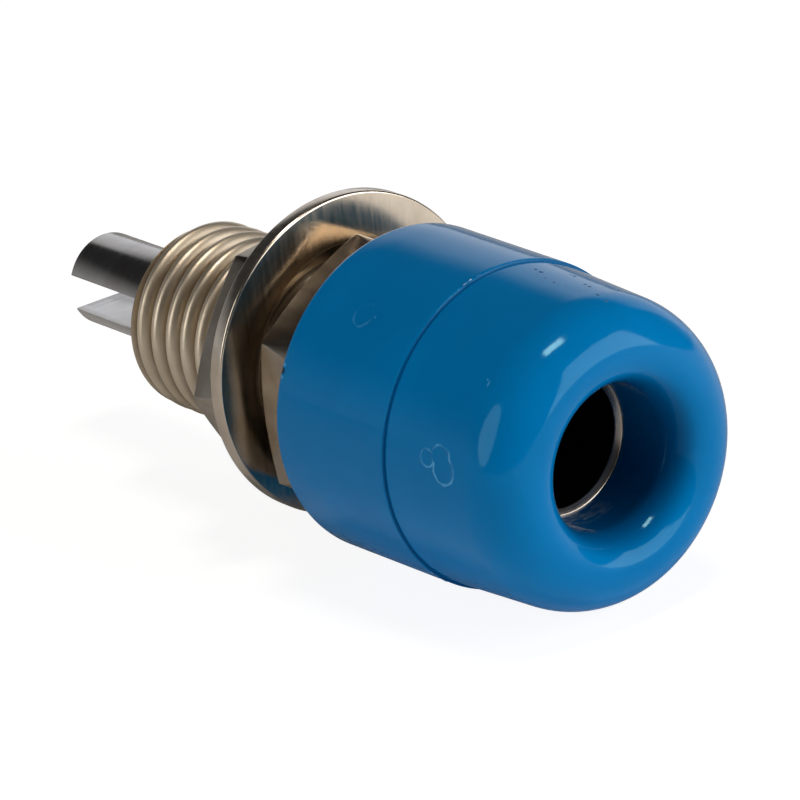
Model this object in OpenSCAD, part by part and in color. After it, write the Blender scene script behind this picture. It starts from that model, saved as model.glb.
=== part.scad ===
// Insulated 4 mm banana socket for a panel.
// A moulded head on a turned contact body, with two nuts and a washer on its thread.
// Sizes are in millimetres. The socket's axis lies along Y with its nose towards -Y, +Z is up,
// and the origin is the centre of the head's rear face, which seats on the panel.

/* [Insulating head] */
// Outer diameter of the head at its rear edge
head_d = 10; // [9:0.1:12]
// Length of the head from the panel face to the tip of the nose
head_length = 10; // [9:0.1:13]
// Distance of the mould's parting line from the rear face
parting_at = 5; // [3:0.1:6]
// Step at the parting line, where the front half of the mould is smaller
parting_step = 0.08; // [0:0.01:0.15]
// Draft of the rear half, in degrees
rear_draft = 0.6; // [0:0.1:2]
// Draft of the front half, in degrees
front_draft = 3.1; // [0:0.1:5]
// Rounding of the rear edge
rear_edge = 0.2; // [0.05:0.05:0.5]
// Length of the rounded nose along the axis
nose_depth = 1.9; // [1:0.1:2.8]
// Depth of the rounded mouth along the axis
mouth_depth = 1.2; // [0.6:0.1:1.7]
// Width of the rounded mouth, from the throat to the tip of the nose
mouth_width = 1.03; // [0.5:0.01:1.5]
// Clearance of the throat round the plug's pin, on the radius
throat_clearance = 0.2; // [0.1:0.05:0.4]

/* [Contact body] */
// Diameter of the bore for the plug's pin
bore_d = 4; // [3.5:0.1:4.5]
// Depth of the contact's front end behind the tip of the nose
contact_recess = 2.75; // [2:0.05:4]
// Chamfer at the mouth of the bore
bore_chamfer = 0.15; // [0.05:0.05:0.3]
// Thickness of the floor between the bore and the end of the thread
bore_floor = 1.3; // [0.6:0.1:3]
// Angle of the drill point at the bottom of the bore, in degrees
drill_angle = 118; // [90:1:140]
// Major diameter of the thread
thread_d = 6; // [5.6:0.1:6.6]
// Length of the thread behind the head
thread_length = 10.3; // [8:0.1:20]
// Chamfer at the end of the thread
thread_chamfer = 0.3; // [0.1:0.05:0.5]
// Distance of the grip groove from the head's rear face
groove_at = 2.2; // [1:0.1:3]
// Width of the grip groove that the head is moulded into
groove_width = 1.6; // [0.5:0.1:2]
// Depth of the grip groove
groove_depth = 0.35; // [0.1:0.05:0.4]

/* [Solder tail] */
// Diameter of the solder tail
tail_d = 3; // [2.4:0.1:3.6]
// Length of the solder tail behind the thread
tail_length = 5.1; // [3:0.1:10]
// Width of the saw slot that takes the wire
slot_width = 1.15; // [0.8:0.05:1.6]
// How far the slot lies below the axis
slot_drop = 0.05; // [0:0.01:0.15]
// Distance from the root of the slot to the end of the thread
slot_root = 0.6; // [0.3:0.1:2]
// Chamfer at the end of the tail
tail_chamfer = 0.05; // [0.05:0.05:0.3]

/* [Nuts] */
// Width of a nut across its flats
nut_flats = 7.8; // [7.5:0.1:10]
// Thickness of a nut
nut_thickness = 2; // [1.5:0.1:2.4]
// Angle of the chamfer on the corners at a nut's rear face, in degrees
nut_chamfer_angle = 26; // [15:1:35]
// How far the chamfer circle lies inside the flats
nut_chamfer_inset = 0.1; // [0.05:0.05:0.3]
// Length of a nut's corners that is left full, between the chamfer and the taper
nut_full = 0.1; // [0.05:0.05:0.5]
// Taper of the corners towards a nut's front face, in degrees
nut_taper = 7.5; // [2:0.5:10]
// Countersink at both ends of a nut's hole
nut_countersink = 0.35; // [0.1:0.05:0.5]
// Clearance between the thread and a nut's hole, on the radius
thread_clearance = 0.03; // [0.01:0.01:0.1]
// Turn of the front nut's corner from straight up, in degrees
front_nut_turn = 0.5; // [0:0.5:59.5]
// Turn of the rear nut's corner from straight up, in degrees
rear_nut_turn = 31.5; // [0:0.5:59.5]

/* [Washer] */
// Outer diameter of the washer
washer_d = 10; // [9:0.1:12]
// Thickness of the washer
washer_thickness = 0.5; // [0.3:0.05:1]
// Clearance of the washer's hole round the thread, on the radius
washer_clearance = 0.5; // [0.2:0.05:0.8]
// Bevel of the washer's edges
washer_bevel = 0.06; // [0.02:0.01:0.12]

/* [Seating] */
// Gap between the head and the front nut
head_gap = 0.05; // [0.02:0.01:0.5]
// Gap between the front nut and the washer
panel_play = 0.5; // [0.05:0.05:1]
// Gap between the washer and the rear nut
nut_gap = 0.03; // [0.02:0.01:0.2]
// Gap left where the washer hangs against the thread
washer_touch = 0.05; // [0.02:0.01:0.15]

/* [Hidden] */

$fn = 96;
ARC_STEPS = 16;
// Overshoot that carries a cut past the face it starts from
CUT = 1;

head_r = head_d / 2;
bore_r = bore_d / 2;
thread_r = thread_d / 2;
tail_r = tail_d / 2;
nut_r = nut_flats / 2;
washer_r = washer_d / 2;
throat_r = bore_r + throat_clearance;
tip_r = throat_r + mouth_width;

// Heights along the axis, measured from the head's rear face towards the nose
contact_front = head_length - contact_recess;
nose_start = head_length - nose_depth;
mouth_end = head_length - mouth_depth;
thread_end = -thread_length;
bore_end = thread_end + bore_floor;
tail_end = thread_end - tail_length;
front_nut_rear = -head_gap - nut_thickness;
washer_rear = front_nut_rear - panel_play - washer_thickness;
rear_nut_rear = washer_rear - nut_gap - nut_thickness;

// Radii of the head's side on the two sides of the parting line, and where the nose starts
rear_half_r = head_r - (parting_at - rear_edge) * tan(rear_draft);
front_half_r = rear_half_r - parting_step;
nose_side_r = front_half_r - (nose_start - parting_at) * tan(front_draft);
// Half width of the nose's ellipse, for which the drafted side runs into it with no crease
nose_width = sqrt(pow(nose_side_r - tip_r, 2) - pow(nose_depth * tan(front_draft), 2));
nose_start_angle = atan(nose_depth / nose_width * tan(front_draft));

// Points on an elliptical arc about a centre in the profile's plane
function arc(centre_r, centre_z, width, depth, from, to) = [
    for (step = [0 : ARC_STEPS])
        let (angle = from + (to - from) * step / ARC_STEPS)
            [centre_r + width * cos(angle), centre_z + depth * sin(angle)]
];

// The grip groove's section on the contact body, which the head's inner rib fills
groove_line = [
    [thread_r, groove_at],
    [thread_r - groove_depth, groove_at],
    [thread_r - groove_depth, groove_at + groove_width],
    [thread_r, groove_at + groove_width]
];

// Turns a piece drawn along Z so that its nose points to -Y and its Y side is up
module along_socket() {
    rotate([90, 0, 0]) children();
}

// Moulded head: drafted both ways from the parting line, with a rounded nose and mouth
module insulating_head() {
    profile = concat(
        [[thread_r, 0]],
        arc(head_r - rear_edge, rear_edge, rear_edge, rear_edge, -90, 0),
        [[rear_half_r, parting_at], [front_half_r, parting_at]],
        arc(tip_r, nose_start, nose_width, nose_depth, nose_start_angle, 90),
        arc(tip_r, mouth_end, mouth_width, mouth_depth, 90 + 90 / ARC_STEPS, 180),
        [[throat_r, contact_front], [thread_r, contact_front]],
        [for (i = [len(groove_line) - 1 : -1 : 0]) groove_line[i]]
    );
    color("#0a66ac") along_socket() rotate_extrude() polygon(profile);
}

// Turned contact body: bored from the front, threaded behind the head, slotted at the tail
module contact_body() {
    point_depth = bore_r / tan(drill_angle / 2);
    profile = concat(
        [
            [0, tail_end],
            [tail_r - tail_chamfer, tail_end],
            [tail_r, tail_end + tail_chamfer],
            [tail_r, thread_end],
            [thread_r - thread_chamfer, thread_end],
            [thread_r, thread_end + thread_chamfer]
        ],
        groove_line,
        [[thread_r, contact_front], [0, contact_front]]
    );
    color("#a59a8c") along_socket() difference() {
        rotate_extrude() polygon(profile);
        translate([0, 0, bore_end]) cylinder(r = bore_r, h = contact_front - bore_end + CUT);
        translate([0, 0, bore_end - point_depth]) cylinder(r1 = 0, r2 = bore_r, h = point_depth);
        translate([0, 0, contact_front - bore_chamfer])
            cylinder(r1 = bore_r, r2 = bore_r + bore_chamfer, h = bore_chamfer);
        solder_slot();
    }
}

// Saw cut across the solder tail, level when the socket is upright
module solder_slot() {
    slot_length = tail_length - slot_root + CUT;
    translate([-tail_d, -slot_width / 2 - slot_drop, tail_end - CUT]) cube([2 * tail_d, slot_width, slot_length]);
}

// Thin hexagon nut with its corners turned down at both ends, standing on its rear face
module nut(turn) {
    corner_r = nut_r / cos(30);
    chamfer_r = nut_r - nut_chamfer_inset;
    corner_drop = (corner_r - chamfer_r) * tan(nut_chamfer_angle);
    // The taper's radius at the rear face, for which it meets the corners where the full length ends
    taper_r = corner_r + (corner_drop + nut_full) * tan(nut_taper);
    ridge_z = (taper_r - chamfer_r) / (1 / tan(nut_chamfer_angle) + tan(nut_taper));
    hole_r = thread_r + thread_clearance;
    sink_r = hole_r + nut_countersink;
    blank = [
        [0, 0],
        [chamfer_r, 0],
        [taper_r - ridge_z * tan(nut_taper), ridge_z],
        [taper_r - nut_thickness * tan(nut_taper), nut_thickness],
        [0, nut_thickness]
    ];
    difference() {
        intersection() {
            rotate(90 + turn) cylinder(r = corner_r, h = nut_thickness, $fn = 6);
            rotate_extrude() polygon(blank);
        }
        translate([0, 0, -CUT]) cylinder(r = hole_r, h = nut_thickness + 2 * CUT);
        cylinder(r1 = sink_r, r2 = hole_r, h = nut_countersink);
        translate([0, 0, nut_thickness - nut_countersink])
            cylinder(r1 = hole_r, r2 = sink_r, h = nut_countersink);
    }
}

// Nut that closes on the panel, screwed up to the head
module front_nut() {
    color("#9d9184") along_socket() translate([0, 0, front_nut_rear]) nut(front_nut_turn);
}

// Nut that closes on the washer
module rear_nut() {
    color("#9d9184") along_socket() translate([0, 0, rear_nut_rear]) nut(rear_nut_turn);
}

// Loose plain washer, pushed up until its hole meets the underside of the thread
module washer() {
    hole_r = thread_r + washer_clearance;
    lift = washer_clearance - washer_touch;
    section = [
        [hole_r, washer_bevel],
        [hole_r + washer_bevel, 0],
        [washer_r - washer_bevel, 0],
        [washer_r, washer_bevel],
        [washer_r, washer_thickness - washer_bevel],
        [washer_r - washer_bevel, washer_thickness],
        [hole_r + washer_bevel, washer_thickness],
        [hole_r, washer_thickness - washer_bevel]
    ];
    color("#b3a798") along_socket() translate([0, lift, washer_rear]) rotate_extrude() polygon(section);
}

insulating_head();
contact_body();
front_nut();
washer();
rear_nut();
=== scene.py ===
"""Insulated 4 mm banana socket: a blue moulded head on a plated contact body, two nuts and a washer.

The socket's axis lies along Y with its nose towards -Y. The origin is the centre of the head's rear face.
"""

import math
from types import SimpleNamespace

import bmesh
import bpy
from mathutils import Matrix, Vector


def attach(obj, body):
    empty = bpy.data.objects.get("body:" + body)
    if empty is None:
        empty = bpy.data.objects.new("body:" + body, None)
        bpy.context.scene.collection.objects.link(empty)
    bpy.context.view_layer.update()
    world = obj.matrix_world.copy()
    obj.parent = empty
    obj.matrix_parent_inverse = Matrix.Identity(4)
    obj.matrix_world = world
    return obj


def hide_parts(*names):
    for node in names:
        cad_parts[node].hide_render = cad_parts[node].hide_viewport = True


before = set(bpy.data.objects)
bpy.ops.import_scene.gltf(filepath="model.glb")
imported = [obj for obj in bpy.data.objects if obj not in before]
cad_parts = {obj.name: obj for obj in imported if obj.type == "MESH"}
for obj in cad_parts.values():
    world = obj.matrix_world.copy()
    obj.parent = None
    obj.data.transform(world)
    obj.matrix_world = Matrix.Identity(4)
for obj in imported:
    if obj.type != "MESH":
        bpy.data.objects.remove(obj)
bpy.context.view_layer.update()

# In metres: one millimetre, the distance at which two corners are one, the size below which a face is
# a sliver, and how near a saw cut a corner counts as on it
MM = 0.001
WELD = 1e-6
SLIVER = 2e-6
ON_CUT = 1e-8

# How far a cutter stands out past the face that it cuts, in millimetres
EDGE_OVERCUT = 0.1
TAP_OVERCUT = 0.5
BORE_OVERCUT = 1.0

# Head: radii and distances along the axis, in millimetres from its rear face
HEAD_R = 5.0
HEAD_LENGTH = 10.0
HEAD_STEPS = 180
PARTING_AT = 5.0
PARTING_STEP = 0.08
PARTING_EDGE = 0.05
REAR_DRAFT = math.radians(0.6)
FRONT_DRAFT = math.radians(3.1)
REAR_EDGE = 0.2
NOSE_DEPTH = 1.9
MOUTH_DEPTH = 1.2
MOUTH_WIDTH = 1.03
THROAT_R = 2.2
# Where the drafted sides have corners
REAR_SIDE_AT = (1, 2, 3, 4, 4.85)
FRONT_SIDE_AT = (5.09, 5.2, 6, 7)
# Notch at the foot of the parting step: its depth, and how far in front of the line
STEP_NOTCH = ((0.02, 0.005), (0.02, 0.03), (0.006, 0.06))
# Bits of flash on the parting line: degrees from the top towards -X, and how far they stand proud
FLASH = ((7, 9, 0.015), (11, 15, 0.025), (133, 136, 0.015), (138, 141, 0.02))

# Marks on the head's skin laid flat: millimetres round it from the top, and along it
SKIN_R = 4.8
SKIN_WOBBLE = 0.12
# The gate's three lobes, with their radii
GATE_LOBES = ((6.52, 6.80, 0.26), (6.38, 7.34, 0.36), (6.74, 7.50, 0.42))
EJECTOR_AT = (3.29, 2.5, 0)
EJECTOR_R = 0.36
# Specks and short scuffs, with half their width round the head and along it
SPECKS = (
    (3.24, 2.98, 0.06, 0.04),
    (3.90, 8.35, 0.14, 0.05),
    (3.80, 8.24, 0.04, 0.06),
    (5.36, 0.17, 0.07, 0.1),
    (5.73, 0.17, 0.07, 0.1),
)
FLECK_AT = (5.54, 0.17, 0)
# Centre of the strip of pits, and half its width round the head and along it
PITS_AT = (-0.9, 7.0)
PITS_REACH = (0.6, 2.1)
# Radii over which flash whitens, from just outside the rear half, and the middle of the painted shade
# beside it
FLASH_R = (4.953, 4.960)
PARTING_SHADE_AT = PARTING_AT + 0.03
# Radii over which the throat's painted shade fades
THROAT_SHADE_R = (2.25, 2.85)
# The plugs' scuffs: the heights and the levels below the axis over which they fade, and their radius
SCUFFS_END = (7.95, 8.2)
SCUFFS_TOP = (-2.15, -1.98)
SCUFFS_R = 2.4

# Contact body
TURNED_STEPS = 128
BORE_R = 2.0
CONTACT_FRONT = 7.25
BORE_CHAMFER = 0.15
RIM_ROUND = 0.06
RIM_EASE = 0.025
BORE_END = -9.0
DRILL_POINT = math.radians(59)
THREAD_R = 3.0
THREAD_END = -10.3
THREAD_CHAMFER = 0.3
PITCH = 0.75
THREAD_PHASE = 0.205
THREAD_POINTS = 16
THREAD_STEPS = 96
THREAD_DEPTH = 0.44
# The thread's section: the share of its half pitch where the root starts, and how its flank curves
ROOT_AT = 0.92
FLANK_CURVE = 2.3
# Whole turns that are cut away in front, and in all, so that both ends are sawn through full thread
FRONT_TURNS = 1
SPARE_TURNS = 4
# The thread runs into the rear end of the sleeve, which is chamfered
SHANK_FRONT = 0.38
SLEEVE_REAR = 0.3
SLEEVE_CHAMFER = 0.1
CREST_ROOM = 0.01
# How far past its place a face of the rim, the shank's end or the bore's wall is still taken for one
RIM_MARGIN = 0.05
END_MARGIN = 0.01
WALL_MARGIN = 0.005
GROOVE = (2.2, 3.8)
GROOVE_DEPTH = 0.35
TAIL_R = 1.5
TAIL_END = -15.4
TAIL_CHAMFER = 0.05
TAIL_INSET = 0.5
TAIL_EDGE = 0.03
TAIL_STEPS = 96
SLOT_WIDTH = 1.15
SLOT_ACROSS = 4
SLOT_DROP = 0.05
SLOT_ROOT = -10.9

# Nuts and washer
NUT_FLATS = 7.8
NUT_THICKNESS = 2.0
NUT_CHAMFER = math.radians(26)
NUT_CHAMFER_R = 3.8
NUT_FULL = 0.1
NUT_TAPER = math.radians(7.5)
NUT_COUNTERSINK = 0.35
NUT_EDGE = 0.035
NUT_STEPS = 144
THREAD_CLEARANCE = 0.03
FRONT_NUT = {"rear": -2.05, "turn": 0.5}
REAR_NUT = {"rear": -5.08, "turn": 31.5}
WASHER_R = 5.0
WASHER_HOLE_R = 3.5
WASHER_THICKNESS = 0.5
WASHER_REAR = -3.05
WASHER_LIFT = 0.45
WASHER_STEPS = 180
# The washer's edges: rounded by the punch outside and in the hole, and nearly sharp where it broke out
PUNCHED_EDGE = 0.08
PUNCHED_HOLE = 0.07
BROKEN_EDGE = 0.04

# Studio: metres, and degrees round the socket from straight in front of its nose
LAMP_DISTANCE = 0.40
FLOOR_SIZE = 3
FLOOR_AT = -5.03 * MM
DOME_R = 0.9
SHEEN_AZIMUTH = 36
SHEET_AZIMUTH = 135

# Camera: degrees, and millimetres from the origin
CAMERA_AZIMUTH = -36.55
CAMERA_ELEVATION = 21.5
CAMERA_ROLL = math.radians(6.2)
CAMERA_DISTANCE = 148.95
CAMERA_LEFT = 0.2313
CAMERA_DOWN = 0.4122


# Modelling


def leave_all():
    """Leaves edit mode with nothing selected."""
    if bpy.context.object and bpy.context.object.mode != "OBJECT":
        bpy.ops.object.mode_set(mode="OBJECT")
    bpy.ops.object.select_all(action="DESELECT")


def take_up(piece):
    """Selects one piece alone."""
    leave_all()
    piece.select_set(True)
    bpy.context.view_layer.objects.active = piece


def edit(piece):
    """Opens one piece in edit mode."""
    take_up(piece)
    bpy.ops.object.mode_set(mode="EDIT")


def draw_section(name, corners):
    """A half section drawn beside the axis: each corner is a radius and a height towards the nose."""
    leave_all()
    radius, height = corners[0]
    bpy.ops.mesh.primitive_plane_add(size=MM, location=(radius * MM, -height * MM, 0))
    bpy.ops.object.transform_apply(location=True)
    piece = bpy.context.object
    piece.name = piece.data.name = name
    bpy.ops.object.mode_set(mode="EDIT")
    bpy.ops.mesh.select_mode(type="VERT")
    bpy.ops.mesh.select_all(action="SELECT")
    bpy.ops.mesh.merge(type="CENTER")
    for (r0, h0), (r1, h1) in zip(corners, corners[1:]):
        step = ((r1 - r0) * MM, (h0 - h1) * MM, 0)
        bpy.ops.mesh.extrude_region_move(TRANSFORM_OT_translate={"value": step})
    return piece


def weld():
    """Merges the doubled corners of the piece in edit mode."""
    bpy.ops.mesh.select_all(action="SELECT")
    bpy.ops.mesh.remove_doubles(threshold=WELD)


def close_up():
    """Welds the seams and poles of the piece in edit mode, and turns its faces outwards."""
    weld()
    bpy.ops.mesh.normals_make_consistent(inside=False)
    bpy.ops.object.mode_set(mode="OBJECT")


def lathe(name, corners, steps):
    """A turned piece: its section closed and spun once round the axis."""
    piece = draw_section(name, corners)
    weld()
    bpy.ops.mesh.select_all(action="SELECT")
    bpy.ops.mesh.spin(steps=steps, angle=2 * math.pi, center=(0, 0, 0), axis=(0, 1, 0))
    close_up()
    return piece


def apply_modifier(piece, kind, **settings):
    """Puts a modifier on a piece and applies it."""
    take_up(piece)
    modifier = piece.modifiers.new(kind.title(), kind)
    for name, value in settings.items():
        setattr(modifier, name, value)
    bpy.ops.object.modifier_apply(modifier=modifier.name)


def combine(piece, tool, operation):
    """Joins a tool to a piece, cuts it out or keeps what both share, and clears the tool away."""
    apply_modifier(piece, "BOOLEAN", object=tool, operation=operation, solver="MANIFOLD")
    bpy.data.objects.remove(tool)


def ease_edges(piece, width, angle):
    """Bevels the edges of a piece that are sharper than an angle in degrees."""
    apply_modifier(
        piece,
        "BEVEL",
        width=width * MM,
        segments=2,
        limit_method="ANGLE",
        angle_limit=math.radians(angle),
    )


def curve(centre_r, centre_h, width, depth, start, end, steps):
    """Corners along part of an ellipse, from one angle to another in degrees."""
    angles = [math.radians(start + (end - start) * i / steps) for i in range(steps + 1)]
    return [(centre_r + width * math.cos(a), centre_h + depth * math.sin(a)) for a in angles]


def rounded(centre_r, centre_h, radius, start, end, steps):
    """Corners along part of a circle."""
    return curve(centre_r, centre_h, radius, radius, start, end, steps)


def smooth(piece, angle):
    """Clears a finished piece of slivers and empty finishes that the cuts left, and shades it smooth."""
    edit(piece)
    bpy.ops.mesh.select_mode(type="FACE")
    bpy.ops.mesh.select_all(action="SELECT")
    bpy.ops.mesh.remove_doubles(threshold=SLIVER)
    bpy.ops.mesh.select_face_by_sides(number=4, type="GREATER", extend=False)
    bpy.ops.mesh.quads_convert_to_tris(quad_method="BEAUTY", ngon_method="BEAUTY")
    bpy.ops.mesh.select_all(action="SELECT")
    bpy.ops.mesh.dissolve_degenerate(threshold=SLIVER)
    close_up()
    bpy.ops.object.shade_smooth_by_angle(angle=math.radians(angle))
    piece.data.materials.clear()


def make_head():
    """The moulded head: two drafted halves, a rounded nose and mouth, and a rib in the contact's groove."""
    tip_r = THROAT_R + MOUTH_WIDTH
    nose_start = HEAD_LENGTH - NOSE_DEPTH
    mouth_end = HEAD_LENGTH - MOUTH_DEPTH
    rear_half_r = HEAD_R - (PARTING_AT - REAR_EDGE) * math.tan(REAR_DRAFT)
    front_half_r = rear_half_r - PARTING_STEP
    nose_side_r = front_half_r - (nose_start - PARTING_AT) * math.tan(FRONT_DRAFT)
    # The nose's ellipse, for which the drafted side runs into it with no crease
    nose_width = math.sqrt((nose_side_r - tip_r) ** 2 - (NOSE_DEPTH * math.tan(FRONT_DRAFT)) ** 2)
    side_angle = math.degrees(math.atan(NOSE_DEPTH / nose_width * math.tan(FRONT_DRAFT)))
    rear_side = [(rear_half_r + (PARTING_AT - h) * math.tan(REAR_DRAFT), h) for h in REAR_SIDE_AT]
    lip = rounded(rear_half_r - PARTING_EDGE, PARTING_AT - PARTING_EDGE, PARTING_EDGE, 0, 70, 4)
    notch = [(front_half_r - depth, PARTING_AT + ahead) for depth, ahead in STEP_NOTCH]
    front_side = [(front_half_r - (h - PARTING_AT) * math.tan(FRONT_DRAFT), h) for h in FRONT_SIDE_AT]
    section = (
        [(THREAD_R, 0)]
        + rounded(HEAD_R - REAR_EDGE, REAR_EDGE, REAR_EDGE, -90, 0, 8)
        + rear_side
        + lip
        + notch
        + front_side
        + curve(tip_r, nose_start, nose_width, NOSE_DEPTH, side_angle, 90, 30)
        + curve(tip_r, mouth_end, MOUTH_WIDTH, MOUTH_DEPTH, 90, 180, 24)[1:]
        + [(THROAT_R, CONTACT_FRONT), (THREAD_R, CONTACT_FRONT)]
        + [(THREAD_R, GROOVE[1]), (THREAD_R - GROOVE_DEPTH, GROOVE[1])]
        + [(THREAD_R - GROOVE_DEPTH, GROOVE[0]), (THREAD_R, GROOVE[0]), (THREAD_R, 0)]
    )
    head = lathe("head", section, HEAD_STEPS)

    # Bits of flash that the mould left on the parting line
    for start, end, proud in FLASH:
        edit(head)
        bpy.ops.mesh.select_mode(type="FACE")
        bpy.ops.mesh.select_all(action="DESELECT")
        mesh = bmesh.from_edit_mesh(head.data)
        for face in mesh.faces:
            spot = face.calc_center_median() / MM
            turn = math.degrees(math.atan2(-spot.x, spot.z))
            if PARTING_AT - PARTING_EDGE < -spot.y < PARTING_AT and start < turn < end:
                face.select = math.hypot(spot.x, spot.z) > front_half_r
        bmesh.update_edit_mesh(head.data)
        grow = 1 + proud / rear_half_r
        bpy.ops.mesh.extrude_region_move()
        bpy.ops.transform.resize(value=(grow, 1, grow), center_override=(0, -PARTING_AT * MM, 0))
        bpy.ops.mesh.normals_make_consistent(inside=False)
        bpy.ops.object.mode_set(mode="OBJECT")
    smooth(head, angle=32)
    return head


def make_thread(name, front, rear, grow):
    """A threaded rod: one pitch carried along a right-hand helix, and sawn off square at both ends.

    Its radius gains what grow says, so that a tap cuts with clearance.
    """
    ridge = []
    for i in range(THREAD_POINTS + 1):
        from_crest = abs(2 * i / THREAD_POINTS - 1)
        depth = THREAD_DEPTH * min(1, from_crest / ROOT_AT) ** FLANK_CURVE
        ridge.append((THREAD_R + grow - depth, PITCH * (1 - i / THREAD_POINTS)))
    turns = math.ceil((front - rear) / PITCH) + SPARE_TURNS
    start = PITCH * (math.ceil(front / PITCH) + FRONT_TURNS) + THREAD_PHASE
    rod = draw_section(name, [(r, start + height) for r, height in ridge])
    bpy.ops.object.mode_set(mode="OBJECT")
    apply_modifier(
        rod,
        "SCREW",
        axis="Y",
        steps=THREAD_STEPS,
        render_steps=THREAD_STEPS,
        iterations=turns,
        screw_offset=PITCH * MM,
        merge_threshold=WELD,
    )
    edit(rod)
    weld()
    for height, ahead in ((front, False), (rear, True)):
        bpy.ops.mesh.select_all(action="SELECT")
        bpy.ops.mesh.bisect(
            plane_co=(0, -height * MM, 0),
            plane_no=(0, 1, 0),
            use_fill=True,
            clear_inner=not ahead,
            clear_outer=ahead,
            threshold=ON_CUT,
        )
    close_up()
    return rod


def make_tail():
    """The solder tail: a pin with a saw slot across it, eased at its edges."""
    section = [
        (0, THREAD_END + TAIL_INSET),
        (TAIL_R, THREAD_END + TAIL_INSET),
        (TAIL_R, TAIL_END + TAIL_CHAMFER),
        (TAIL_R - TAIL_CHAMFER, TAIL_END),
        (0, TAIL_END),
    ]
    tail = lathe("tail", section, TAIL_STEPS)
    leave_all()
    length = SLOT_ROOT - TAIL_END + BORE_OVERCUT
    middle = (0, (length / 2 - SLOT_ROOT) * MM, -SLOT_DROP * MM)
    bpy.ops.mesh.primitive_cube_add(size=1, location=middle)
    slot = bpy.context.object
    slot.scale = (SLOT_ACROSS * MM, length * MM, SLOT_WIDTH * MM)
    bpy.ops.object.transform_apply(location=True, scale=True)
    combine(tail, slot, "DIFFERENCE")
    ease_edges(tail, TAIL_EDGE, angle=40)
    return tail


def make_contact():
    """The turned contact: sleeve, threaded shank and tail in one piece, with a bore from the front."""
    contact = make_thread("contact", SHANK_FRONT, THREAD_END, 0)
    blank = [
        (0, SHANK_FRONT),
        (THREAD_R + CREST_ROOM, SHANK_FRONT),
        (THREAD_R + CREST_ROOM, THREAD_END + THREAD_CHAMFER + CREST_ROOM),
        (THREAD_R - THREAD_CHAMFER, THREAD_END),
        (0, THREAD_END),
    ]
    combine(contact, lathe("shank_blank", blank, TURNED_STEPS), "INTERSECT")

    groove_r = THREAD_R - GROOVE_DEPTH
    sleeve = [
        (0, SLEEVE_REAR),
        (THREAD_R - SLEEVE_CHAMFER, SLEEVE_REAR),
        (THREAD_R, SLEEVE_REAR + SLEEVE_CHAMFER),
        (THREAD_R, GROOVE[0]),
        (groove_r, GROOVE[0]),
        (groove_r, GROOVE[1]),
        (THREAD_R, GROOVE[1]),
        (THREAD_R, CONTACT_FRONT),
        (0, CONTACT_FRONT),
    ]
    combine(contact, lathe("sleeve", sleeve, TURNED_STEPS), "UNION")
    combine(contact, make_tail(), "UNION")

    point = BORE_R / math.tan(DRILL_POINT)
    outer_edge_r = BORE_R + BORE_CHAMFER + RIM_EASE
    inner_edge = CONTACT_FRONT - BORE_CHAMFER - RIM_EASE
    bore = [
        (0, CONTACT_FRONT + BORE_OVERCUT),
        (outer_edge_r, CONTACT_FRONT + BORE_OVERCUT),
        *rounded(outer_edge_r, CONTACT_FRONT - RIM_ROUND, RIM_ROUND, 90, 135, 4),
        *rounded(BORE_R + RIM_ROUND, inner_edge, RIM_ROUND, 135, 180, 4),
        (BORE_R, BORE_END),
        (0, BORE_END - point),
    ]
    combine(contact, lathe("bore", bore, TURNED_STEPS), "DIFFERENCE")
    smooth(contact, angle=38)

    # The bore's wall and drill point take the second finish, the tail and the end of the thread the third,
    # and the bore's rim the fourth
    rim_start = CONTACT_FRONT - BORE_CHAMFER - RIM_MARGIN
    shank_end = THREAD_END + END_MARGIN
    wall_r = BORE_R + WALL_MARGIN
    for face in contact.data.polygons:
        x, y, z = face.center / MM
        if -y > rim_start:
            face.material_index = 3
        elif -y < shank_end:
            face.material_index = 2
        elif math.hypot(x, z) < wall_r:
            face.material_index = 1
    return contact


def make_nut(name, rear, turn):
    """A thin nut: hexagon bar with its corners turned down and its edges eased, countersunk and tapped."""
    front = rear + NUT_THICKNESS
    corner_r = NUT_FLATS / math.sqrt(3)
    leave_all()
    bpy.ops.mesh.primitive_cylinder_add(
        vertices=6,
        radius=corner_r * MM,
        depth=NUT_THICKNESS * MM,
        location=(0, -(rear + front) / 2 * MM, 0),
        rotation=(math.pi / 2, -math.radians(turn), 0),
    )
    bpy.ops.object.transform_apply(location=True, rotation=True)
    nut = bpy.context.object
    nut.name = nut.data.name = name
    corner_drop = (corner_r - NUT_CHAMFER_R) * math.tan(NUT_CHAMFER)
    taper_r = corner_r + (corner_drop + NUT_FULL) * math.tan(NUT_TAPER)
    ridge = (taper_r - NUT_CHAMFER_R) / (1 / math.tan(NUT_CHAMFER) + math.tan(NUT_TAPER))
    corners = [
        (0, front + EDGE_OVERCUT),
        (taper_r - (NUT_THICKNESS + EDGE_OVERCUT) * math.tan(NUT_TAPER), front + EDGE_OVERCUT),
        (taper_r - ridge * math.tan(NUT_TAPER), rear + ridge),
        (NUT_CHAMFER_R - EDGE_OVERCUT / math.tan(NUT_CHAMFER), rear - EDGE_OVERCUT),
        (0, rear - EDGE_OVERCUT),
    ]
    combine(nut, lathe("corners", corners, NUT_STEPS), "INTERSECT")
    ease_edges(nut, NUT_EDGE, angle=20)
    hole_r = THREAD_R + THREAD_CLEARANCE
    for face, out in ((front, 1), (rear, -1)):
        top = face + EDGE_OVERCUT * out
        bottom = face - (NUT_COUNTERSINK + TAP_OVERCUT) * out
        sink = [
            (0, top),
            (hole_r + NUT_COUNTERSINK + EDGE_OVERCUT, top),
            (hole_r - TAP_OVERCUT, bottom),
            (0, bottom),
        ]
        combine(nut, lathe("countersink", sink, TURNED_STEPS), "DIFFERENCE")
    tap = make_thread("tap", front + TAP_OVERCUT, rear - TAP_OVERCUT, THREAD_CLEARANCE)
    combine(nut, tap, "DIFFERENCE")
    smooth(nut, angle=14)
    return nut


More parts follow.
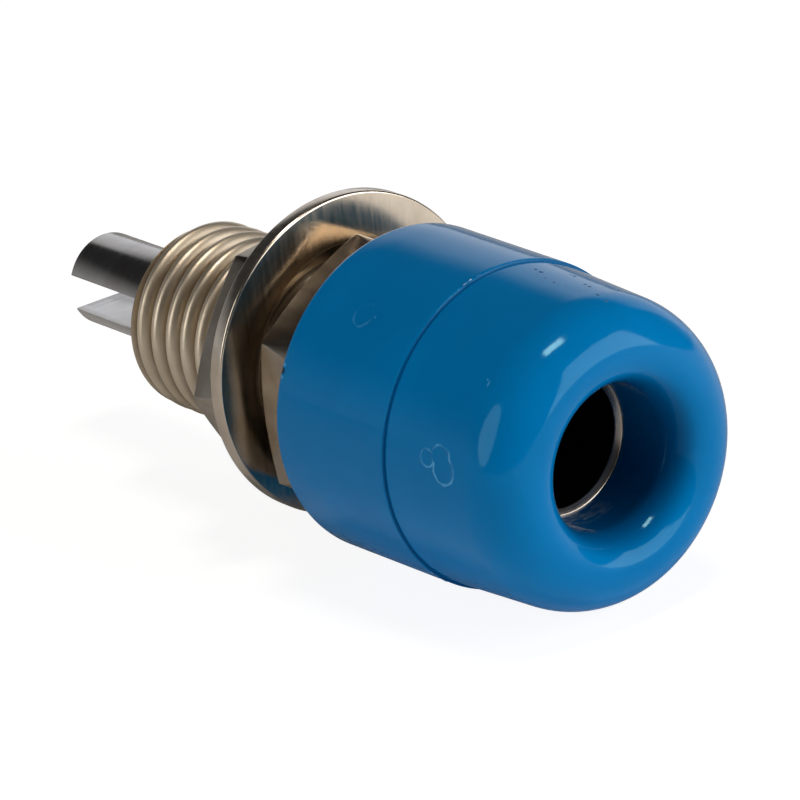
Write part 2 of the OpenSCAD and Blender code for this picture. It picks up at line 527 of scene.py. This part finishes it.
def make_washer():
    """The stamped washer, pushed up until its hole nearly meets the underside of the thread."""
    front = WASHER_REAR + WASHER_THICKNESS
    section = (
        rounded(WASHER_R - PUNCHED_EDGE, front - PUNCHED_EDGE, PUNCHED_EDGE, 90, 0, 6)
        + rounded(WASHER_R - BROKEN_EDGE, WASHER_REAR + BROKEN_EDGE, BROKEN_EDGE, 0, -90, 3)
        + rounded(WASHER_HOLE_R + BROKEN_EDGE, WASHER_REAR + BROKEN_EDGE, BROKEN_EDGE, -90, -180, 3)
        + rounded(WASHER_HOLE_R + PUNCHED_HOLE, front - PUNCHED_HOLE, PUNCHED_HOLE, 180, 90, 4)
    )
    washer = lathe("washer_ring", section + section[:1], WASHER_STEPS)
    edit(washer)
    bpy.ops.mesh.select_all(action="SELECT")
    bpy.ops.transform.translate(value=(0, 0, WASHER_LIFT * MM))
    bpy.ops.object.mode_set(mode="OBJECT")
    smooth(washer, angle=40)
    return washer


# Materials

# Settings that many nodes share
ABSOLUTE = {"operation": "ABSOLUTE"}
DISTANCE = {"operation": "DISTANCE"}
DIVIDE = {"operation": "DIVIDE"}
DOT_PRODUCT = {"operation": "DOT_PRODUCT"}
LENGTH = {"operation": "LENGTH"}
MAXIMUM = {"operation": "MAXIMUM"}
MULTIPLY = {"operation": "MULTIPLY"}
MULTIPLY_ADD = {"operation": "MULTIPLY_ADD"}
NORMALIZE = {"operation": "NORMALIZE"}
SUBTRACT = {"operation": "SUBTRACT"}
SMOOTHSTEP = {"interpolation_type": "SMOOTHSTEP"}
COLOUR = {"data_type": "RGBA"}


def linear(colour):
    """A colour written as sRGB hex, as linear red, green, blue and alpha."""
    parts = [int(colour[i : i + 2], 16) / 255 for i in (1, 3, 5)]
    return [c / 12.92 if c <= 0.04045 else ((c + 0.055) / 1.055) ** 2.4 for c in parts] + [1]


def add(tree, kind, settings=None, **inputs):
    """Adds a node with its settings, and links or sets its inputs.

    An input whose name is shared with another is given by its number, as in_0.
    """
    made = tree.nodes.new(kind)
    for name, value in (settings or {}).items():
        setattr(made, name, value)
    for name, value in inputs.items():
        key = int(name[3:]) if name.startswith("in_") else name.replace("_", " ")
        socket = made.inputs[key]
        if isinstance(value, bpy.types.NodeSocket):
            tree.links.new(value, socket)
        else:
            socket.default_value = value
    return made.outputs


def new_material(name):
    """A material with an empty tree of nodes."""
    material = bpy.data.materials.new(name)
    material.use_nodes = True
    material.node_tree.nodes.clear()
    return material, material.node_tree


def in_millimetres(tree):
    """Where a point of the piece lies, in millimetres."""
    place = add(tree, "ShaderNodeTexCoord")["Object"]
    return add(tree, "ShaderNodeVectorMath", {"operation": "SCALE"}, in_0=place, Scale=1 / MM)["Vector"]


def from_axis(tree, spot):
    """How far a point lies from the socket's axis."""
    across = add(tree, "ShaderNodeVectorMath", MULTIPLY, in_0=spot, in_1=(1, 0, 1))["Vector"]
    return add(tree, "ShaderNodeVectorMath", LENGTH, in_0=across)["Value"]


def places_on_head(tree):
    """Where a point of the head lies: in space, from the axis, and on its skin laid flat."""
    spot = in_millimetres(tree)
    axis = add(tree, "ShaderNodeSeparateXYZ", Vector=spot)
    height = add(tree, "ShaderNodeMath", MULTIPLY, in_0=axis["Y"], in_1=-1.0)["Value"]
    left = add(tree, "ShaderNodeMath", MULTIPLY, in_0=axis["X"], in_1=-1.0)["Value"]
    turn = add(tree, "ShaderNodeMath", {"operation": "ARCTAN2"}, in_0=left, in_1=axis["Z"])["Value"]
    around = add(tree, "ShaderNodeMath", MULTIPLY, in_0=turn, in_1=SKIN_R)["Value"]
    skin = add(tree, "ShaderNodeCombineXYZ", X=around, Y=height)["Vector"]
    # The same skin slightly bent, so that marks on it aren't true circles
    wobble = add(tree, "ShaderNodeTexNoise", Vector=skin, Scale=4.0, Detail=2.0)["Color"]
    wobble = add(tree, "ShaderNodeVectorMath", SUBTRACT, in_0=wobble, in_1=(0.5, 0.5, 0.5))["Vector"]
    reach = (SKIN_WOBBLE, SKIN_WOBBLE, 0)
    bent = add(tree, "ShaderNodeVectorMath", MULTIPLY_ADD, in_0=wobble, in_1=reach, in_2=skin)["Vector"]
    return SimpleNamespace(
        spot=spot,
        rise=axis["Z"],
        radius=from_axis(tree, spot),
        height=height,
        around=around,
        skin=skin,
        bent_skin=bent,
    )


def gate_mark(tree, on):
    """The gate's three lobes run together: their outline, and a level that is low inside it."""
    gate = None
    for around, height, lobe_r in GATE_LOBES:
        centre = (around, height, 0)
        away = add(tree, "ShaderNodeVectorMath", DISTANCE, in_0=on.bent_skin, in_1=centre)["Value"]
        lobe = add(tree, "ShaderNodeMath", SUBTRACT, in_0=away, in_1=lobe_r)["Value"]
        if gate is None:
            gate = lobe
        else:
            gate = add(
                tree, "ShaderNodeMath", {"operation": "SMOOTH_MIN"}, in_0=gate, in_1=lobe, in_2=0.06
            )["Value"]
    edge = add(tree, "ShaderNodeMath", ABSOLUTE, in_0=gate)["Value"]
    edge = add(
        tree,
        "ShaderNodeMapRange",
        SMOOTHSTEP,
        Value=edge,
        From_Min=0.01,
        From_Max=0.055,
        To_Min=1.0,
        To_Max=0.0,
    )["Result"]
    outside = add(
        tree, "ShaderNodeMapRange", SMOOTHSTEP, Value=gate, From_Min=-0.2, From_Max=0.0
    )["Result"]
    return edge, outside


def pale_marks(tree, on, gate_edge):
    """What is paler than the skin: the gate's outline, an ejector pin's faint ring and specks."""
    ring = add(tree, "ShaderNodeVectorMath", DISTANCE, in_0=on.bent_skin, in_1=EJECTOR_AT)["Value"]
    ring = add(tree, "ShaderNodeMath", SUBTRACT, in_0=ring, in_1=EJECTOR_R)["Value"]
    ring = add(tree, "ShaderNodeMath", ABSOLUTE, in_0=ring)["Value"]
    ring = add(
        tree,
        "ShaderNodeMapRange",
        SMOOTHSTEP,
        Value=ring,
        From_Min=0.01,
        From_Max=0.07,
        To_Min=0.35,
        To_Max=0.0,
    )["Result"]
    # The ring fades towards the top of the head
    faded = add(
        tree, "ShaderNodeMapRange", Value=on.around, From_Min=3.15, From_Max=3.5, To_Min=0.2, To_Max=1.0
    )["Result"]
    ring = add(tree, "ShaderNodeMath", MULTIPLY, in_0=ring, in_1=faded)["Value"]
    lines = add(tree, "ShaderNodeMath", MAXIMUM, in_0=gate_edge, in_1=ring)["Value"]
    # Both lines are broken every 0.4 mm or so
    broken = add(tree, "ShaderNodeTexNoise", Vector=on.skin, Scale=2.6, Detail=3.0)["Fac"]
    broken = add(
        tree, "ShaderNodeMapRange", Value=broken, From_Min=0.4, From_Max=0.62, To_Min=0.15, To_Max=1.0
    )["Result"]
    pale = add(tree, "ShaderNodeMath", MULTIPLY, in_0=lines, in_1=broken)["Value"]
    for around, height, wide, long in SPECKS:
        centre = (around, height, 0)
        away = add(tree, "ShaderNodeVectorMath", SUBTRACT, in_0=on.bent_skin, in_1=centre)["Vector"]
        away = add(tree, "ShaderNodeVectorMath", DIVIDE, in_0=away, in_1=(wide, long, 1))["Vector"]
        away = add(tree, "ShaderNodeVectorMath", LENGTH, in_0=away)["Value"]
        speck = add(
            tree,
            "ShaderNodeMapRange",
            SMOOTHSTEP,
            Value=away,
            From_Min=0.4,
            From_Max=1.0,
            To_Min=0.7,
            To_Max=0.0,
        )["Result"]
        pale = add(tree, "ShaderNodeMath", MAXIMUM, in_0=pale, in_1=speck)["Value"]
    return pale


def dark_fleck(tree, on):
    """A dark fleck in the rear edge, 0.2 mm wide."""
    away = add(tree, "ShaderNodeVectorMath", DISTANCE, in_0=on.skin, in_1=FLECK_AT)["Value"]
    return add(
        tree,
        "ShaderNodeMapRange",
        SMOOTHSTEP,
        Value=away,
        From_Min=0.06,
        From_Max=0.13,
        To_Min=0.9,
        To_Max=0.0,
    )["Result"]


def parting_marks(tree, on):
    """Flash on the parting line, whitened where it was torn, and painted shade 0.09 mm wide in the step's
    corner.
    """
    low, high = FLASH_R
    proud = add(tree, "ShaderNodeMapRange", Value=on.radius, From_Min=low, From_Max=high)["Result"]
    near = add(
        tree, "ShaderNodeMath", {"operation": "COMPARE"}, in_0=on.height, in_1=PARTING_AT, in_2=0.1
    )["Value"]
    flash = add(tree, "ShaderNodeMath", MULTIPLY, in_0=proud, in_1=near)["Value"]
    torn = add(tree, "ShaderNodeTexNoise", Vector=on.spot, Scale=5.0, Detail=3.0)["Fac"]
    torn = add(
        tree, "ShaderNodeMapRange", Value=torn, From_Min=0.45, From_Max=0.6, To_Min=0.05, To_Max=0.8
    )["Result"]
    flash = add(tree, "ShaderNodeMath", MULTIPLY, in_0=flash, in_1=torn)["Value"]
    # Painted shade: a darker band in the corner of the parting step
    painted_shade = add(tree, "ShaderNodeMath", SUBTRACT, in_0=on.height, in_1=PARTING_SHADE_AT)["Value"]
    painted_shade = add(tree, "ShaderNodeMath", ABSOLUTE, in_0=painted_shade)["Value"]
    painted_shade = add(
        tree,
        "ShaderNodeMapRange",
        SMOOTHSTEP,
        Value=painted_shade,
        From_Min=0.03,
        From_Max=0.06,
        To_Min=0.5,
        To_Max=0.0,
    )["Result"]
    return flash, painted_shade


def throat_marks(tree, on):
    """Painted shade deep in the throat, and the grey scuffs that plugs leave along its floor."""
    # Painted shade: darker the deeper into the throat
    painted_shade = add(
        tree,
        "ShaderNodeMapRange",
        SMOOTHSTEP,
        Value=on.radius,
        From_Min=THROAT_SHADE_R[0],
        From_Max=THROAT_SHADE_R[1],
        To_Min=0.62,
        To_Max=0.0,
    )["Result"]
    scuffs = add(tree, "ShaderNodeMath", {"operation": "LESS_THAN"}, in_0=on.radius, in_1=SCUFFS_R)["Value"]
    faded = []
    for place, (full, gone) in ((on.height, SCUFFS_END), (on.rise, SCUFFS_TOP)):
        share = add(
            tree, "ShaderNodeMapRange", Value=place, From_Min=full, From_Max=gone, To_Min=1.0, To_Max=0.0
        )["Result"]
        faded.append(share)
    streaks = add(tree, "ShaderNodeVectorMath", MULTIPLY, in_0=on.spot, in_1=(3.0, 6.0, 3.0))["Vector"]
    streaks = add(tree, "ShaderNodeTexNoise", Vector=streaks, Scale=1.0, Detail=5.0)["Fac"]
    streaks = add(
        tree, "ShaderNodeMapRange", Value=streaks, From_Min=0.42, From_Max=0.7, To_Max=0.6
    )["Result"]
    for share in (*faded, streaks):
        scuffs = add(tree, "ShaderNodeMath", MULTIPLY, in_0=scuffs, in_1=share)["Value"]
    return painted_shade, scuffs


def mould_pits(tree, on):
    """Pits along the top of the front half, up to 0.15 mm across, where the mould was worn."""
    pit = add(tree, "ShaderNodeTexVoronoi", {"voronoi_dimensions": "2D"}, Vector=on.bent_skin, Scale=2.9)
    size = add(tree, "ShaderNodeSeparateColor", Color=pit["Color"])["Red"]
    size = add(tree, "ShaderNodeMapRange", Value=size, From_Min=0.45, From_Max=1.0, To_Max=0.22)["Result"]
    dot = add(tree, "ShaderNodeMath", SUBTRACT, in_0=size, in_1=pit["Distance"])["Value"]
    dot = add(tree, "ShaderNodeMapRange", SMOOTHSTEP, Value=dot, From_Min=0.0, From_Max=0.05)["Result"]
    wide, long = PITS_REACH
    strip = add(
        tree,
        "ShaderNodeVectorMath",
        MULTIPLY_ADD,
        in_0=on.skin,
        in_1=(1 / wide, 1 / long, 0),
        in_2=(-PITS_AT[0] / wide, -PITS_AT[1] / long, 0),
    )["Vector"]
    strip = add(tree, "ShaderNodeVectorMath", LENGTH, in_0=strip)["Value"]
    strip = add(
        tree, "ShaderNodeMapRange", Value=strip, From_Min=0.8, From_Max=1.05, To_Min=1.0, To_Max=0.0
    )["Result"]
    return add(tree, "ShaderNodeMath", MULTIPLY, in_0=dot, in_1=strip)["Value"]


def moulded_blue_polyamide():
    """Moulded blue polyamide: a saturated blue with a faint mottle and the semi-gloss of a polished mould.

    The mould left a pale gate mark and ejector ring, and pits along the top.
    """
    material, tree = new_material("moulded_blue_polyamide")
    on = places_on_head(tree)
    gate_edge, outside_gate = gate_mark(tree, on)
    pale = pale_marks(tree, on, gate_edge)
    pale = add(tree, "ShaderNodeMath", MULTIPLY, in_0=pale, in_1=0.75)["Value"]
    flash, crease = parting_marks(tree, on)
    painted_shade, scuffs = throat_marks(tree, on)
    pits = mould_pits(tree, on)

    # Colour: a cloudy mottle some 3 mm wide, then the marks on it
    cloud = add(tree, "ShaderNodeTexNoise", Vector=on.spot, Scale=0.33, Detail=3.0)["Fac"]
    cloud = add(tree, "ShaderNodeMapRange", Value=cloud, From_Min=0.3, From_Max=0.7)["Result"]
    colour = add(
        tree, "ShaderNodeMix", COLOUR, Factor=cloud, in_6=linear("#0074B4"), in_7=linear("#007BBD")
    )[2]
    for share, tone in (
        (pits, "#004577"),
        (pale, "#5FB4E8"),
        # Painted shade in the parting step's corner
        (crease, "#003A72"),
        (flash, "#C4DCEC"),
        # Painted shade deep in the throat
        (painted_shade, "#003262"),
        (scuffs, "#8A97A3"),
        (dark_fleck(tree, on), "#06202F"),
    ):
        colour = add(tree, "ShaderNodeMix", COLOUR, Factor=share, in_6=colour, in_7=linear(tone))[2]

    # Surface: the mould's fine orange peel 0.3 mm wide, the gate's ridge and the pits, in millimetres
    peel = add(tree, "ShaderNodeTexNoise", Vector=on.spot, Scale=3.3, Detail=2.0)["Fac"]
    relief = add(tree, "ShaderNodeMath", MULTIPLY, in_0=peel, in_1=0.0016)["Value"]
    for share, depth in ((gate_edge, 0.012), (outside_gate, 0.01), (pits, -0.012)):
        relief = add(tree, "ShaderNodeMath", MULTIPLY_ADD, in_0=share, in_1=depth, in_2=relief)["Value"]
    bump = add(tree, "ShaderNodeBump", Strength=1.0, Distance=MM, Height=relief)["Normal"]

    # Gloss: even, and dulled where the skin is pitted or scuffed and along the painted shade in the step's
    # corner
    rough = add(tree, "ShaderNodeTexNoise", Vector=on.spot, Scale=1.2, Detail=4.0)["Fac"]
    rough = add(
        tree, "ShaderNodeMapRange", Value=rough, From_Min=0.3, From_Max=0.7, To_Min=0.08, To_Max=0.12
    )["Result"]
    dulled = pits
    for share in (scuffs, crease):
        dulled = add(tree, "ShaderNodeMath", MAXIMUM, in_0=dulled, in_1=share)["Value"]
    rough = add(tree, "ShaderNodeMath", MULTIPLY_ADD, in_0=dulled, in_1=0.4, in_2=rough)["Value"]
    surface = add(
        tree,
        "ShaderNodeBsdfPrincipled",
        Base_Color=colour,
        Roughness=rough,
        Specular_IOR_Level=0.26,
        Specular_Tint=linear("#AAF3FF"),
        Normal=bump,
    )["BSDF"]
    add(tree, "ShaderNodeOutputMaterial", Surface=surface)
    return material


def nickel_plate(name, tones, roughness, grain, grain_depth, root_shade_r=None):
    """Nickel plate on brass: a warm grey metal whose gloss follows how the brass under it was cut.

    The grain is the spacing of that cut's lines along each axis, in millimetres. It is drawn coarser than
    the real lines, which are too fine to show. Brown painted shade deepens from the second radius of
    root_shade_r in to the first.
    """
    material, tree = new_material(name)
    spot = in_millimetres(tree)
    # Blotches about 1 mm wide, between the two tones
    tint = add(tree, "ShaderNodeTexNoise", Vector=spot, Scale=0.9, Detail=3.0)["Fac"]
    tint = add(tree, "ShaderNodeMapRange", Value=tint, From_Min=0.3, From_Max=0.7)["Result"]
    dark, light = map(linear, tones)
    colour = add(tree, "ShaderNodeMix", COLOUR, Factor=tint, in_6=dark, in_7=light)[2]
    # Painted shade: browner and darker towards the roots of the thread
    if root_shade_r:
        root_shade = add(
            tree,
            "ShaderNodeMapRange",
            Value=from_axis(tree, spot),
            From_Min=root_shade_r[0],
            From_Max=root_shade_r[1],
            To_Min=0.8,
            To_Max=0.0,
        )["Result"]
        colour = add(tree, "ShaderNodeMix", COLOUR, Factor=root_shade, in_6=colour, in_7=linear("#54391D"))[2]
    cut = add(tree, "ShaderNodeVectorMath", DIVIDE, in_0=spot, in_1=grain)["Vector"]
    lines = add(tree, "ShaderNodeTexNoise", Vector=cut, Scale=1.0, Detail=2.0)["Fac"]
    rough = add(
        tree,
        "ShaderNodeMapRange",
        Value=lines,
        From_Min=0.3,
        From_Max=0.7,
        To_Min=roughness[0],
        To_Max=roughness[1],
    )["Result"]
    relief = add(tree, "ShaderNodeMath", MULTIPLY, in_0=lines, in_1=grain_depth)["Value"]
    bump = add(tree, "ShaderNodeBump", Strength=1.0, Distance=MM, Height=relief)["Normal"]
    surface = add(
        tree, "ShaderNodeBsdfPrincipled", Base_Color=colour, Metallic=1.0, Roughness=rough, Normal=bump
    )["BSDF"]
    add(tree, "ShaderNodeOutputMaterial", Surface=surface)
    return material


# Pieces

blue = moulded_blue_polyamide()

# The shank as it left the lathe: pale crests with a broad soft gloss, and brown painted shade in the roots
turned = nickel_plate(
    "nickel_plated_turned_brass",
    tones=("#E0CFB4", "#F1E2CB"),
    roughness=(0.39, 0.47),
    grain=(6.0, 0.12, 6.0),
    grain_depth=0.0005,
    root_shade_r=(2.6, 2.94),
)
# The bore's wall and drill point: painted shade, near black, and dull
drilled = nickel_plate(
    "drilled_brass_in_the_bore",
    tones=("#3A322A", "#4A4036"),
    roughness=(0.35, 0.5),
    grain=(4.0, 0.2, 4.0),
    grain_depth=0.0008,
)
# The tail and the end of the shank: a bright grey with soft mirror images
polished = nickel_plate(
    "nickel_plated_polished_brass",
    tones=("#A8A098", "#BAB4AD"),
    roughness=(0.13, 0.2),
    grain=(6.0, 0.15, 6.0),
    grain_depth=0.0002,
)
# The nuts: flats as smooth as the die drew them, with soft-edged reflections
drawn = nickel_plate(
    "nickel_plated_drawn_hexagon_brass",
    tones=("#A19483", "#BBAFA0"),
    roughness=(0.16, 0.22),
    grain=(0.25, 3.0, 0.25),
    grain_depth=0.0001,
)
# The bore's rim: scored in rings and dulled by plugs
worn = nickel_plate(
    "nickel_plate_worn_by_plugs",
    tones=("#9A9087", "#BDB4AA"),
    roughness=(0.22, 0.36),
    grain=(3.0, 0.07, 3.0),
    grain_depth=0.004,
)
# The washer: a pale sheet with the faint lines of the rolls
rolled = nickel_plate(
    "nickel_plated_rolled_brass_sheet",
    tones=("#D6C7B3", "#EADDCA"),
    roughness=(0.18, 0.26),
    grain=(0.12, 2.0, 2.2),
    grain_depth=0.0009,
)

for piece, node, body, slot, finishes in (
    (make_head(), "insulating_head", "socket", "blue_plastic", [blue]),
    (make_contact(), "contact_body", "socket", "plated_contact", [turned, drilled, polished, worn]),
    (make_nut("front_hexagon_nut", **FRONT_NUT), "front_nut", "front_nut", "plated_nut", [drawn]),
    (make_nut("rear_hexagon_nut", **REAR_NUT), "rear_nut", "rear_nut", "plated_nut", [drawn]),
    (make_washer(), "washer", "washer", "plated_washer", [rolled]),
):
    for finish in finishes:
        piece.data.materials.append(finish)
    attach(piece, body)
    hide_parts(node)


# Studio: a white floor, three lamps, and a dark dome with a white sheet and a grey wall behind the socket


def at(azimuth, elevation, distance):
    """A place round the socket. Azimuth 0 is straight in front of the nose and 90 is on its +X side."""
    a = math.radians(azimuth)
    e = math.radians(elevation)
    return Vector((math.sin(a) * math.cos(e), -math.cos(a) * math.cos(e), math.sin(e))) * distance


def lamp(name, shape, azimuth, elevation, width, height, power, colour=(1, 1, 1)):
    """A soft box that faces the socket."""
    place = at(azimuth, elevation, LAMP_DISTANCE)
    leave_all()
    bpy.ops.object.light_add(type="AREA", location=place)
    light = bpy.context.object
    light.name = name
    light.rotation_euler = place.to_track_quat("Z", "Y").to_euler()
    light.data.shape = shape
    light.data.size = width
    light.data.size_y = height
    light.data.energy = power
    light.data.color = colour
    light.visible_camera = False


def white_paper():
    """White paper: white to the camera, where it keeps a faint shadow, and matt to the light."""
    material, tree = new_material("white_paper")
    path = add(tree, "ShaderNodeLightPath")
    white = linear("#FFFFFF")
    matt = add(tree, "ShaderNodeBsdfDiffuse", Color=linear("#EDEDED"))["BSDF"]
    haze = add(tree, "ShaderNodeEmission", Color=white, Strength=0.22)["Emission"]
    matt = add(tree, "ShaderNodeAddShader", in_0=matt, in_1=haze)["Shader"]
    shade = add(tree, "ShaderNodeBsdfDiffuse", Color=linear("#898989"))["BSDF"]
    glow = add(tree, "ShaderNodeEmission", Color=white, Strength=0.9)["Emission"]
    bright = add(tree, "ShaderNodeAddShader", in_0=shade, in_1=glow)["Shader"]
    # In reflections the paper is a darker copy, and a painted pool of light glows on it towards the front
    # soft box
    dull = add(tree, "ShaderNodeBsdfDiffuse", Color=linear("#DDDDDD"))["BSDF"]
    place = add(tree, "ShaderNodeTexCoord")["Object"]
    toward = at(SHEEN_AZIMUTH, 0, 1)
    ahead = add(tree, "ShaderNodeVectorMath", DOT_PRODUCT, in_0=place, in_1=toward)["Value"]
    ahead = add(
        tree, "ShaderNodeMapRange", Value=ahead, From_Min=12 * MM, From_Max=26 * MM, To_Max=0.35
    )["Result"]
    sheen = add(tree, "ShaderNodeEmission", Color=white, Strength=ahead)["Emission"]
    dull = add(tree, "ShaderNodeAddShader", in_0=dull, in_1=sheen)["Shader"]
    matt = add(tree, "ShaderNodeMixShader", Fac=path["Is Glossy Ray"], in_1=matt, in_2=dull)["Shader"]
    seen = add(tree, "ShaderNodeMixShader", Fac=path["Is Camera Ray"], in_1=matt, in_2=bright)["Shader"]
    add(tree, "ShaderNodeOutputMaterial", Surface=seen)
    return material


def studio_cloth():
    """Dark cloth with a lit white sheet and a grey back wall, which only reflections show."""
    material, tree = new_material("studio_cloth")
    place = add(tree, "ShaderNodeTexCoord")["Object"]
    toward = add(tree, "ShaderNodeVectorMath", NORMALIZE, in_0=place)["Vector"]
    rise = add(tree, "ShaderNodeSeparateXYZ", Vector=toward)["Z"]
    level = add(tree, "ShaderNodeVectorMath", MULTIPLY, in_0=place, in_1=(1, 1, 0))["Vector"]
    level = add(tree, "ShaderNodeVectorMath", NORMALIZE, in_0=level)["Vector"]
    # The sheet: lit from below and cut off at its top and sides
    middle = at(SHEET_AZIMUTH, 0, 1)
    sheet = add(tree, "ShaderNodeVectorMath", DOT_PRODUCT, in_0=level, in_1=middle)["Value"]
    sheet = add(tree, "ShaderNodeMapRange", SMOOTHSTEP, Value=sheet, From_Min=0.83, From_Max=0.89)["Result"]
    lit = add(
        tree, "ShaderNodeMapRange", Value=rise, From_Min=0.05, From_Max=0.6, To_Min=0.9, To_Max=0.65
    )["Result"]
    top = add(
        tree,
        "ShaderNodeMapRange",
        SMOOTHSTEP,
        Value=rise,
        From_Min=0.38,
        From_Max=0.58,
        To_Min=1.0,
        To_Max=0.0,
    )["Result"]
    for share in (lit, top):
        sheet = add(tree, "ShaderNodeMath", MULTIPLY, in_0=sheet, in_1=share)["Value"]
    # The rest of the back wall, grey near the floor
    back = add(tree, "ShaderNodeSeparateXYZ", Vector=level)["Y"]
    back = add(tree, "ShaderNodeMapRange", SMOOTHSTEP, Value=back, From_Min=-0.1, From_Max=0.4)["Result"]
    wall = add(
        tree, "ShaderNodeMapRange", Value=rise, From_Min=0.0, From_Max=0.4, To_Min=0.52, To_Max=0.03
    )["Result"]
    wall = add(tree, "ShaderNodeMath", MULTIPLY, in_0=wall, in_1=back)["Value"]
    light = sheet
    for other in (wall, 0.02):
        light = add(tree, "ShaderNodeMath", MAXIMUM, in_0=light, in_1=other)["Value"]
    # The light is cool: its blue is past what a hex colour can say
    glow = add(tree, "ShaderNodeEmission", Color=(0.94, 0.98, 1.06, 1), Strength=light)["Emission"]
    add(tree, "ShaderNodeOutputMaterial", Surface=glow)
    return material


lamp("front_soft_box", "RECTANGLE", azimuth=29, elevation=16, width=0.31, height=0.30, power=1.12)
lamp("left_soft_box", "ELLIPSE", azimuth=-95, elevation=22, width=0.18, height=0.28, power=0.30)
lamp(
    "top_lamp",
    "RECTANGLE",
    azimuth=0,
    elevation=79,
    width=0.105,
    height=0.068,
    power=0.47,
    colour=(1, 0.93, 0.87),
)

leave_all()
bpy.ops.mesh.primitive_plane_add(size=FLOOR_SIZE, location=(0, 0, FLOOR_AT))
floor = bpy.context.object
floor.name = "floor"
floor.data.materials.append(white_paper())

leave_all()
bpy.ops.mesh.primitive_uv_sphere_add(segments=64, ring_count=32, radius=DOME_R)
dome = bpy.context.object
dome.name = "studio_dome"
dome.data.materials.append(studio_cloth())
dome.visible_camera = False
dome.visible_diffuse = False
dome.visible_shadow = False
dome.visible_transmission = False
dome.visible_volume_scatter = False

# World: white to the camera and in reflections, and dim as a light
world = bpy.data.worlds.new("studio")
bpy.context.scene.world = world
world.use_nodes = True
tree = world.node_tree
tree.nodes.clear()
path = add(tree, "ShaderNodeLightPath")
seen = path["Is Camera Ray"]
for ray in ("Is Glossy Ray", "Is Transmission Ray"):
    seen = add(tree, "ShaderNodeMath", MAXIMUM, in_0=seen, in_1=path[ray])["Value"]
strength = add(tree, "ShaderNodeMapRange", Value=seen, To_Min=0.06, To_Max=1.0)["Result"]
sky = add(tree, "ShaderNodeBackground", Color=linear("#FFFFFF"), Strength=strength)["Background"]
add(tree, "ShaderNodeOutputWorld", Surface=sky)

# Camera: a long lens, looking down on the nose from the left, with a slight roll
to_camera = at(CAMERA_AZIMUTH, CAMERA_ELEVATION, 1)
level = Vector((0, 0, 1)).cross(to_camera).normalized()
camera_up = (to_camera.cross(level) + level * math.tan(CAMERA_ROLL)).normalized()
camera_right = camera_up.cross(to_camera)
eye = (to_camera * CAMERA_DISTANCE - camera_right * CAMERA_LEFT - camera_up * CAMERA_DOWN) * MM
leave_all()
bpy.ops.object.camera_add()
camera = bpy.context.object
camera.data.sensor_width = 36
camera.data.lens = 225
camera.data.clip_start = 0.01
camera.data.clip_end = 10
turn = Matrix((camera_right, camera_up, to_camera)).transposed()
camera.matrix_world = Matrix.Translation(eye) @ turn.to_4x4()
bpy.context.scene.camera = camera
bpy.context.scene.view_settings.view_transform = "Standard"
